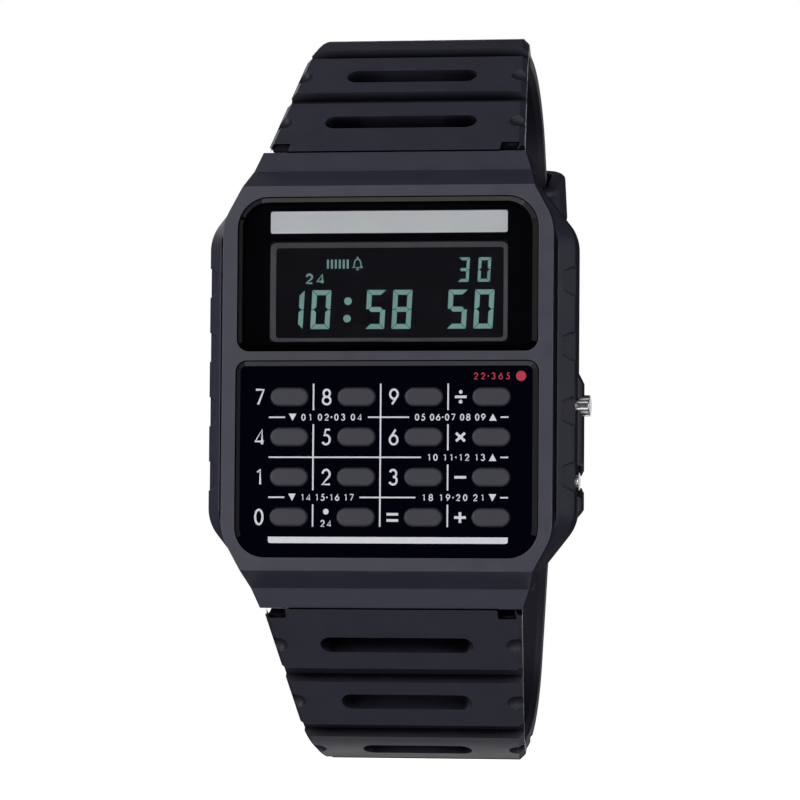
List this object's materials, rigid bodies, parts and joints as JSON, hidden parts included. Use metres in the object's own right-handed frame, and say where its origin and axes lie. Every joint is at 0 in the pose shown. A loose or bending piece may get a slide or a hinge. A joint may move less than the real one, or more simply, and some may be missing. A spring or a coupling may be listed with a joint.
{
  "type": "calculator watch",
  "caption": "Digital wristwatch with a calculator keypad under its display, two side pushers and a buckled resin strap closed in a loop.",
  "frame": {"origin": "centre of the flat outer face of the case back, where the watch meets the wrist", "axes": "+Z towards 12 o'clock, +X towards 3 o'clock (the side of the pushers), the dial looks along -Y and +Y points into the wrist"},
  "size_m": [0.0361, 0.0499, 0.0709],
  "materials": {
    "case_resin": "fine satin resin",
    "window_acrylic": "polished clear",
    "dial_print": "gloss black print",
    "keypad_acrylic": "polished black",
    "key_resin": "satin dark grey",
    "mat_rubber": "matt",
    "contact_film": "clear amber film",
    "display_glass": "dark reversed display",
    "module_plastic": "moulded",
    "board_laminate": "solder mask",
    "chip_epoxy": "matt",
    "crystal_can": "drawn can",
    "cell_steel": "drawn can",
    "spring_steel": "bright",
    "buzzer_brass": "lapped",
    "gasket_rubber": "greased",
    "back_steel": "straight brushed",
    "screw_steel": "bright",
    "pusher_steel": "turned",
    "bar_steel": "turned",
    "strap_resin": "satin moulded",
    "buckle_resin": "satin moulded"
  },
  "bodies": {
    "case": {"case": "case_resin", "display_window": "window_acrylic", "dial_plate": "dial_print", "keypad_panel": "keypad_acrylic", "key_mat": "mat_rubber", "key_contact_sheet": "contact_film", "lcd_panel": "display_glass", "zebra_connectors": "mat_rubber", "lcd_holder": "module_plastic", "circuit_board": "board_laminate", "controller_chip": "chip_epoxy", "quartz_crystal": "crystal_can", "module_frame": "module_plastic", "battery": "cell_steel", "battery_clamp": "spring_steel", "battery_contact": "spring_steel", "buzzer_disc": "buzzer_brass", "buzzer_spring": "spring_steel", "side_contacts": "spring_steel", "back_gasket": "gasket_rubber", "case_back": "back_steel", "back_screws": "screw_steel", "mode_pusher_spring": "spring_steel", "adjust_pusher_spring": "spring_steel", "lug_bar_12": "bar_steel", "lug_bar_6": "bar_steel", "lug_bar_tips": "bar_steel", "lug_bar_springs": "spring_steel"},
    "mode_pusher": {"mode_pusher": "pusher_steel", "mode_pusher_ring": "gasket_rubber", "mode_pusher_clip": "spring_steel"},
    "adjust_pusher": {"adjust_pusher": "pusher_steel", "adjust_pusher_ring": "gasket_rubber", "adjust_pusher_clip": "spring_steel"},
    "strap_12": {"strap_12": "strap_resin", "buckle_pin": "bar_steel"},
    "strap_6": {"strap_6": "strap_resin"},
    "keeper": {"keeper": "strap_resin"},
    "buckle_frame": {"buckle_frame": "buckle_resin"},
    "buckle_tongue": {"buckle_tongue": "buckle_resin"},
    "key_7": {"key_7": "key_resin"},
    "key_8": {"key_8": "key_resin"},
    "key_9": {"key_9": "key_resin"},
    "key_divide": {"key_divide": "key_resin"},
    "key_4": {"key_4": "key_resin"},
    "key_5": {"key_5": "key_resin"},
    "key_6": {"key_6": "key_resin"},
    "key_times": {"key_times": "key_resin"},
    "key_1": {"key_1": "key_resin"},
    "key_2": {"key_2": "key_resin"},
    "key_3": {"key_3": "key_resin"},
    "key_minus": {"key_minus": "key_resin"},
    "key_0": {"key_0": "key_resin"},
    "key_point": {"key_point": "key_resin"},
    "key_equals": {"key_equals": "key_resin"},
    "key_plus": {"key_plus": "key_resin"}
  },
  "joints": [
    {"name": "key_7_press", "type": "slide", "parent": "case", "child": "key_7", "axis": [0, 1, 0], "range_m": [0, 0.0005], "stiffness_N_per_m": 900, "springref_m": -0.0002},
    {"name": "key_8_press", "type": "slide", "parent": "case", "child": "key_8", "axis": [0, 1, 0], "range_m": [0, 0.0005], "stiffness_N_per_m": 900, "springref_m": -0.0002},
    {"name": "key_9_press", "type": "slide", "parent": "case", "child": "key_9", "axis": [0, 1, 0], "range_m": [0, 0.0005], "stiffness_N_per_m": 900, "springref_m": -0.0002},
    {"name": "key_divide_press", "type": "slide", "parent": "case", "child": "key_divide", "axis": [0, 1, 0], "range_m": [0, 0.0005], "stiffness_N_per_m": 900, "springref_m": -0.0002},
    {"name": "key_4_press", "type": "slide", "parent": "case", "child": "key_4", "axis": [0, 1, 0], "range_m": [0, 0.0005], "stiffness_N_per_m": 900, "springref_m": -0.0002},
    {"name": "key_5_press", "type": "slide", "parent": "case", "child": "key_5", "axis": [0, 1, 0], "range_m": [0, 0.0005], "stiffness_N_per_m": 900, "springref_m": -0.0002},
    {"name": "key_6_press", "type": "slide", "parent": "case", "child": "key_6", "axis": [0, 1, 0], "range_m": [0, 0.0005], "stiffness_N_per_m": 900, "springref_m": -0.0002},
    {"name": "key_times_press", "type": "slide", "parent": "case", "child": "key_times", "axis": [0, 1, 0], "range_m": [0, 0.0005], "stiffness_N_per_m": 900, "springref_m": -0.0002},
    {"name": "key_1_press", "type": "slide", "parent": "case", "child": "key_1", "axis": [0, 1, 0], "range_m": [0, 0.0005], "stiffness_N_per_m": 900, "springref_m": -0.0002},
    {"name": "key_2_press", "type": "slide", "parent": "case", "child": "key_2", "axis": [0, 1, 0], "range_m": [0, 0.0005], "stiffness_N_per_m": 900, "springref_m": -0.0002},
    {"name": "key_3_press", "type": "slide", "parent": "case", "child": "key_3", "axis": [0, 1, 0], "range_m": [0, 0.0005], "stiffness_N_per_m": 900, "springref_m": -0.0002},
    {"name": "key_minus_press", "type": "slide", "parent": "case", "child": "key_minus", "axis": [0, 1, 0], "range_m": [0, 0.0005], "stiffness_N_per_m": 900, "springref_m": -0.0002},
    {"name": "key_0_press", "type": "slide", "parent": "case", "child": "key_0", "axis": [0, 1, 0], "range_m": [0, 0.0005], "stiffness_N_per_m": 900, "springref_m": -0.0002},
    {"name": "key_point_press", "type": "slide", "parent": "case", "child": "key_point", "axis": [0, 1, 0], "range_m": [0, 0.0005], "stiffness_N_per_m": 900, "springref_m": -0.0002},
    {"name": "key_equals_press", "type": "slide", "parent": "case", "child": "key_equals", "axis": [0, 1, 0], "range_m": [0, 0.0005], "stiffness_N_per_m": 900, "springref_m": -0.0002},
    {"name": "key_plus_press", "type": "slide", "parent": "case", "child": "key_plus", "axis": [0, 1, 0], "range_m": [0, 0.0005], "stiffness_N_per_m": 900, "springref_m": -0.0002},
    {"name": "mode_pusher_press", "type": "slide", "parent": "case", "child": "mode_pusher", "axis": [-1, 0, 0], "range_m": [0, 0.0006], "stiffness_N_per_m": 1500, "springref_m": -0.0003, "deforming": ["mode_pusher_spring"]},
    {"name": "adjust_pusher_press", "type": "slide", "parent": "case", "child": "adjust_pusher", "axis": [-1, 0, 0], "range_m": [0, 0.0006], "stiffness_N_per_m": 1500, "springref_m": -0.0003, "deforming": ["adjust_pusher_spring"]},
    {"name": "strap_12_hinge", "type": "hinge", "parent": "case", "child": "strap_12", "pos_m": [0, -0.0032, 0.0196], "axis": [1, 0, 0], "range_deg": [0, 32]},
    {"name": "strap_6_hinge", "type": "hinge", "parent": "case", "child": "strap_6", "pos_m": [0, -0.0032, -0.0196], "axis": [1, 0, 0], "range_deg": [-32, 0], "deforming": ["strap_6"]},
    {"name": "buckle_frame_hinge", "type": "hinge", "parent": "strap_12", "child": "buckle_frame", "pos_m": [0, 0.0361, 0.007], "axis": [1, 0, 0], "range_deg": [0, 25]},
    {"name": "buckle_tongue_hinge", "type": "hinge", "parent": "strap_12", "child": "buckle_tongue", "pos_m": [0, 0.0361, 0.007], "axis": [1, 0, 0], "range_deg": [0, 45]},
    {"name": "keeper_slide", "type": "slide", "parent": "strap_12", "child": "keeper", "axis": [0, 0.3939, -0.9191], "range_m": [-0.0035, 0.0013]}
  ],
  "couplings": [
    {"joint": "buckle_frame_hinge", "follows": "strap_6_hinge", "ratio": -0.78},
    {"joint": "buckle_tongue_hinge", "follows": "strap_6_hinge", "ratio": -1.4}
  ]
}
